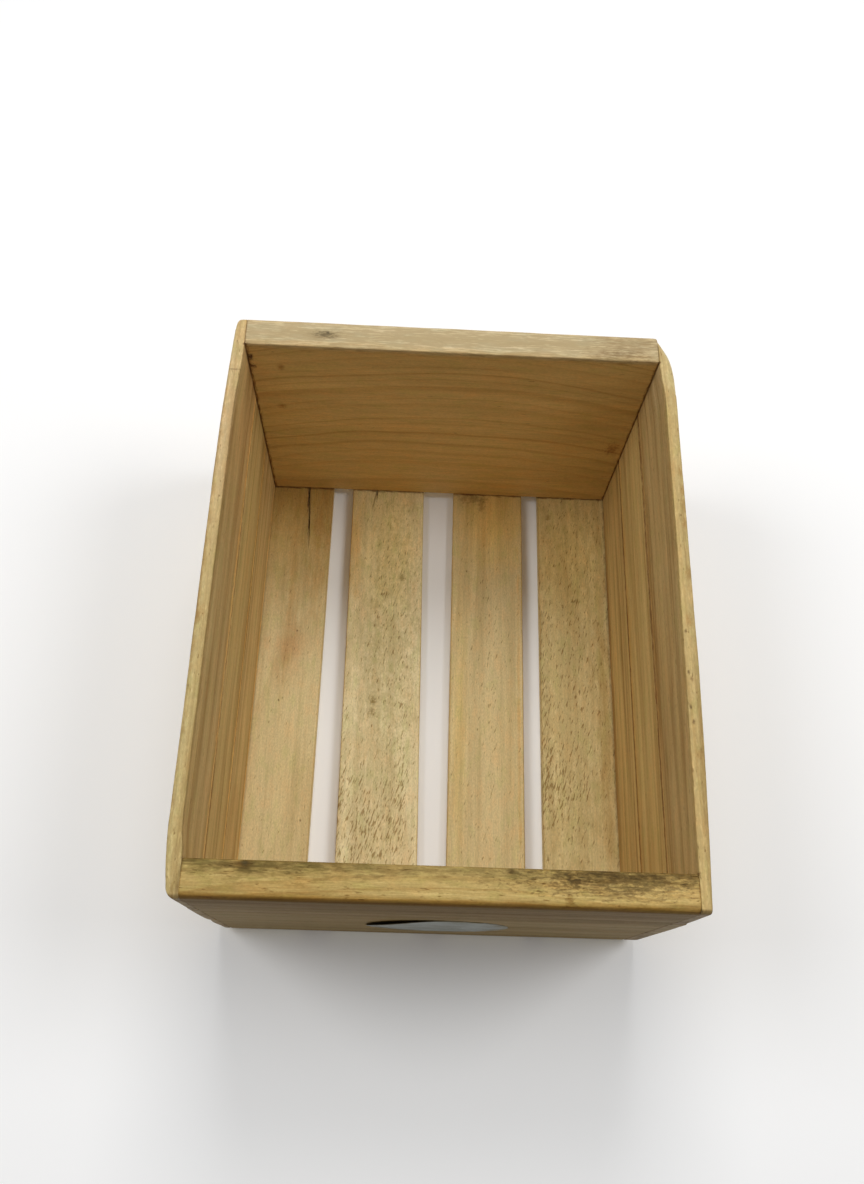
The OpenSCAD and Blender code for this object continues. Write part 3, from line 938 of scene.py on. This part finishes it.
def open_crack(points, high, path):
    """Opens a crack in the upper face. path runs from the board's end to the crack's tip, and
    the mesh has columns crack_column apart round its first x."""
    xs, ys = np.array(path)[::-1].T
    opened = np.clip((points[:, 1] - ys[0]) / (ys[-1] - ys[0]), 0, 1) ** 0.5
    away = points[:, 0] - xs[-1]
    pull = np.clip(1 - np.abs(away) / (7 * mm), 0, 1)
    column = np.round(away / crack_column)
    middle = np.interp(points[:, 1], ys, xs)
    lips = np.where(np.abs(column) == 1, column * (crack_half_width * opened - 0.3 * mm), 0)
    points[:, 0] += (middle - xs[-1]) * pull + lips * (opened > 0)
    share = np.clip((points[:, 2] - (high[2] - 5 * mm)) / (5 * mm), 0, 1)
    points[:, 2] -= np.where(column == 0, crack_depth * opened * share, 0)


for number, board in floor_boards.items():
    node = f"floor_board_{number}"
    box_low, box_high = box_of(node)
    centre = (box_low + box_high) / 2
    half = np.array([board["width"] / 2, floor_len / 2, (box_high[2] - box_low[2]) / 2])
    low, high = -half, half
    turn = board["turn"]
    spin = np.array([[math.cos(turn), math.sin(turn), 0], [-math.sin(turn), math.cos(turn), 0],
                     [0, 0, 1]])
    nail_x = high[0] - floor_nail_edge
    nails = list(itertools.product((-nail_x, nail_x), (-floor_nail_y, floor_nail_y)))
    x_close = nail_close_ups(x for x, y in nails)
    y_close = nail_close_ups(y for x, y in nails)
    path = [(np.array((x * mm, y * mm, 0)) - centre) @ spin.T for x, y in board["crack"]]
    path = [(x, y) for x, y, z in path]
    if path:
        x_close.append((path[0][0], 4 * mm, crack_column))
        y_close.append((high[1] - 42 * mm, 40 * mm, 1.5 * mm))
    points, quads = board_mesh(low, high, (5, 4, 2.5), (x_close, y_close, ()))
    if path:
        open_crack(points, high, path)
    press_in(points, 2, low[2], -1, nails)
    seed = 600 + 40 * number
    ease_edges(points, low, high, 0.9 * mm, board["worn"], seed)
    roughen(points, seed)
    points = points @ spin + centre
    keep_inside(points, box_low, box_high)
    middle = centre[0] / mm
    marks = board["own"] + [
        on_floor(middle, 168, 200, 120, patina, board["back"], 1.0, 0.5),
        on_floor(middle, 172, 200, 50, patina, board["back"], 1.0, 0.9, (6, 12, 6)),
        joint_dirt((0.0, wall_y, floor_top), "x", 1.4, 0.9),
        joint_dirt((0.0, -wall_y, floor_top), "x", 1.4, 0.8),
        joint_dirt((-wall_x, 0.0, floor_top), "y", 1.3, 0.3),
        joint_dirt((wall_x, 0.0, floor_top), "y", 1.6, 0.5)]
    wood = pine(f"Floor board {number} pine", centre - half, centre + half, "YXZ",
                board["tone"], board["log"], lines=0.22, streaks=0.09, bands=0.25, warmth=0.3,
                mottle=0.10, marks=marks, torn=board["torn"],
                torn_all_over=board["torn_all_over"], torn_angle=-0.26, turn=turn,
                seed=20.0 + number)
    make_piece(node + "_wood", points, quads, wood, node)


# ---- Nails ----
# Steel wire nails with round flat heads, hammered a little below the wood's face. Four hold
# each side slat to the end boards' end grain, and four hold each floor board from below.

nail_len = 38 * mm
nail_r = 1 * mm
head_sink = 0.5 * mm
point_len = 3 * mm
nail_sides = 20


def nail(place, inward, seed):
    """Points and faces of one nail, as rings (radius, depth) in mm round its own line: a
    slightly dished head, the shank and the point. place is where the head's top lies."""
    rings = [(1.2, 0.08), (2.0, 0.0), (2.35, 0.06), (head_r / mm, 0.25), (2.48, 0.62),
             (2.2, 0.8), (1.3, 0.85), (nail_r / mm, 1.2),
             (nail_r / mm, (nail_len - point_len) / mm)]
    axis = np.abs(inward).argmax()
    across = np.roll(np.eye(3), -axis - 1, 0)
    points = [place + inward * 0.12 * mm, place + inward * nail_len]
    for radius, depth in rings:
        for step in range(nail_sides):
            angle = 2 * math.pi * step / nail_sides
            dent = 1 - 0.02 * (1 + math.sin(3 * angle + seed))
            spoke = math.cos(angle) * across[0] + math.sin(angle) * across[1]
            points.append(place + (inward * depth + spoke * radius * dent) * mm)
    first = 2
    last = first + (len(rings) - 1) * nail_sides
    faces = []
    for step in range(nail_sides):
        after = (step + 1) % nail_sides
        faces.append([0, first + after, first + step])
        for start in range(first, last, nail_sides):
            below = start + nail_sides
            faces.append([start + step, start + after, below + after, below + step])
        faces.append([1, last + step, last + after])
    if inward[axis] < 0:
        faces = [face[::-1] for face in faces]
    return np.array(points), faces


def nail_steel():
    """Dull drawn wire, with brown rust where the zinc has gone."""
    material, tree, place = new_material("Dull nail steel")
    spots = noise(tree, vector(tree, "MULTIPLY", place, (900.0,) * 3), 4.0).outputs[0]
    rust = fade(tree, spots, 0.45, 0.65)
    colour = blend(tree, rust, srgb(120, 116, 110), srgb(104, 70, 44))
    finish_material(tree, times(tree, spots, 0.1),
                    {"Base Color": colour, "Metallic": fade(tree, rust, 0.0, 1.0, 1.0, 0.2),
                     "Roughness": fade(tree, rust, 0.0, 1.0, 0.4, 0.8)})
    return material


def nail_set(node, places, inward):
    """The nails of one board, as one piece. Each place is where a head's top lies."""
    points, faces = [], []
    for number, place in enumerate(places):
        one_points, one_faces = nail(np.array(place), np.array(inward), number)
        start = len(points) * len(one_points)
        faces += [[corner + start for corner in face] for face in one_faces]
        points.append(one_points)
    make_piece(node + "_steel", np.concatenate(points), faces, steel, node)


steel = nail_steel()
for node in slat_boards:
    side = -1 if node.startswith("left") else 1
    heads = []
    for y, z in slat_nails(node + "_nails"):
        face = side * (wall_x + slat_t - worn_in(y / mm, z / mm, node))
        heads.append((face - side * head_sink, y, z))
    nail_set(node + "_nails", heads, (-side, 0, 0))
for number, board in floor_boards.items():
    nails_low, nails_high = box_of(f"floor_board_{number}_nails")
    centre = (nails_low + nails_high) / 2
    turn = board["turn"]
    nail_x = board["width"] / 2 - floor_nail_edge
    heads = []
    for x, y in itertools.product((-nail_x, nail_x), (-floor_nail_y, floor_nail_y)):
        heads.append((centre[0] + x * math.cos(turn) - y * math.sin(turn),
                      centre[1] + x * math.sin(turn) + y * math.cos(turn), head_sink))
    nail_set(f"floor_board_{number}_nails", heads, (0, 0, 1))


# ---- Label ----
# A blank oval of thin paper, coloured grey as painted shade, pasted on the front end board a little
# askew. The paste has let go at the upper left, where the paper curls away from the wood.

label_middle = np.array((3, 0, 80)) * mm
label_half = np.array((46, 40)) * mm
label_t = 0.3 * mm
label_turn = math.radians(8)
flap_turn = math.radians(135)
flap_start = 20 * mm
flap_r = 110 * mm
label_rings = 30
label_spokes = 120


def label_paper():
    """Paper coloured grey as painted shade, as dark as the shaded front face, soiled by damp and
    dust towards its border, with its fibres showing.
    """
    material, tree, place = new_material("Blank label paper")
    clouds = noise(tree, vector(tree, "MULTIPLY", place, (60.0,) * 3), 4.0).outputs[0]
    creases = noise(tree, vector(tree, "MULTIPLY", place, (160.0, 160.0, 90.0)), 3.0).outputs[0]
    fibres = noise(tree, vector(tree, "MULTIPLY", place, (500.0, 500.0, 1600.0)), 4.0).outputs[0]
    # the paper's grey is painted shade, as dark as the shaded front face
    colour = blend(tree, fade(tree, clouds, 0.35, 0.65), srgb(150, 152, 146), srgb(137, 138, 129))
    shade = fade(tree, fibres, 0.3, 0.7, 0.9, 1.08)
    colour = shaded(tree, 1.0, colour, join(tree, shade, shade, shade))
    away = vector(tree, "DIVIDE", vector(tree, "SUBTRACT", place, tuple(label_middle)),
                  (float(label_half[0]), 1.0, float(label_half[1])))
    soil = times(tree, fade(tree, length(tree, away), 0.8, 1.0),
                 fade(tree, clouds, 0.3, 0.6))
    colour = shaded(tree, soil, colour, srgb(214, 196, 160))
    height = maths(tree, "MULTIPLY_ADD", creases, 0.5, times(tree, fibres, 0.06))
    finish_material(tree, height, {"Base Color": colour,
                                   "Roughness": fade(tree, clouds, 0.3, 0.7, 0.75, 0.88)})
    return material


def label_points():
    """The sheet's two faces: rings of points round its middle, (across, up, out)."""
    shares = np.linspace(0, 1, label_rings + 1)[1:]
    angles = np.arange(label_spokes) * 2 * math.pi / label_spokes
    share, angle = (grid.ravel() for grid in np.meshgrid(shares, angles, indexing="ij"))
    across = label_half[0] * share * np.cos(angle)
    up = label_half[1] * share * np.sin(angle)
    across, up = (across * math.cos(label_turn) - up * math.sin(label_turn),
                  across * math.sin(label_turn) + up * math.cos(label_turn))
    across, up = np.append(across, 0.0), np.append(up, 0.0)
    beyond = across * math.cos(flap_turn) + up * math.sin(flap_turn) - flap_start
    curl = flap_r - np.sqrt(flap_r ** 2 - np.clip(beyond, 0, None) ** 2)
    flat = np.stack([across, up, curl], 1)
    ripple = 0.05 * mm * (1 + bumps(flat, 9 * mm, 900)) * np.clip(beyond / (4 * mm), 0, 1)
    return across, up, curl - ripple


def label():
    across, up, out = label_points()
    under = np.stack([label_middle[0] + across, front_face_y - out, label_middle[2] + up], 1)
    over = under - np.array((0, label_t, 0))
    points = np.concatenate([under, over])
    layer = len(under)
    middle = layer - 1
    faces = []
    for step in range(label_spokes):
        after = (step + 1) % label_spokes
        for ring in range(label_rings - 1):
            inner, outer = ring * label_spokes, (ring + 1) * label_spokes
            face = [inner + step, inner + after, outer + after, outer + step]
            faces.append(face)
            faces.append([corner + layer for corner in face[::-1]])
        faces.append([middle, after, step])
        faces.append([middle + layer, step + layer, after + layer])
        last = (label_rings - 1) * label_spokes
        faces.append([last + step, last + after, last + after + layer, last + step + layer])
    label_low, label_high = box_of("label")
    keep_inside(points, label_low, label_high)
    make_piece("label_sheet", points, faces, label_paper(), "label")


label()


# ---- Studio ----
# A pale floor, three round softboxes high up, one behind and one on each side, dim light
# from all round, and the camera, which stands where the photo's fitted camera does.

reach = 6.0
floor_mesh = bpy.data.meshes.new("studio_floor")
floor_mesh.from_pydata([(-reach, -reach, 0), (reach, -reach, 0), (reach, reach, 0),
                        (-reach, reach, 0)], [], [(0, 1, 2, 3)])
studio_floor = bpy.data.objects.new("studio_floor", floor_mesh)
bpy.context.scene.collection.objects.link(studio_floor)
floor_material = bpy.data.materials.new("Pale floor")
floor_material.use_nodes = True
floor_shader = floor_material.node_tree.nodes["Principled BSDF"]
floor_shader.inputs["Base Color"].default_value = (0.93, 0.93, 0.93, 1)
floor_shader.inputs["Roughness"].default_value = 0.9
floor_mesh.materials.append(floor_material)

world = bpy.data.worlds.new("Studio light")
world.use_nodes = True
world.node_tree.nodes["Background"].inputs["Color"].default_value = (1, 1, 1, 1)
world.node_tree.nodes["Background"].inputs["Strength"].default_value = 0.27
bpy.context.scene.world = world


def softbox(name, place, size, watts):
    lamp = bpy.data.lights.new(name, "AREA")
    lamp.shape = "DISK"
    lamp.size = size
    lamp.energy = watts
    lamp_object = bpy.data.objects.new(name, lamp)
    lamp_object.location = place
    lamp_object.rotation_mode = "QUATERNION"
    lamp_object.rotation_quaternion = (-lamp_object.location).to_track_quat("-Z", "Y")
    bpy.context.scene.collection.objects.link(lamp_object)


softbox("softbox_back", (0.0, 1.3, 1.9), 1.0, 18.9)
softbox("softbox_left", (-1.3, 0.2, 1.8), 1.0, 14.7)
softbox("softbox_right", (1.3, 0.2, 1.8), 1.0, 16.6)

camera = bpy.data.cameras.new("camera")
camera.lens = 30.25
camera.sensor_width = 36
camera_object = bpy.data.objects.new("camera", camera)
camera_object.location = (-0.0258, -0.2431, 0.7581)
camera_object.rotation_euler = [math.radians(angle) for angle in (23.05, -2.29, 1.475)]
bpy.context.scene.collection.objects.link(camera_object)
bpy.context.scene.camera = camera_object
bpy.context.scene.view_settings.view_transform = "Standard"
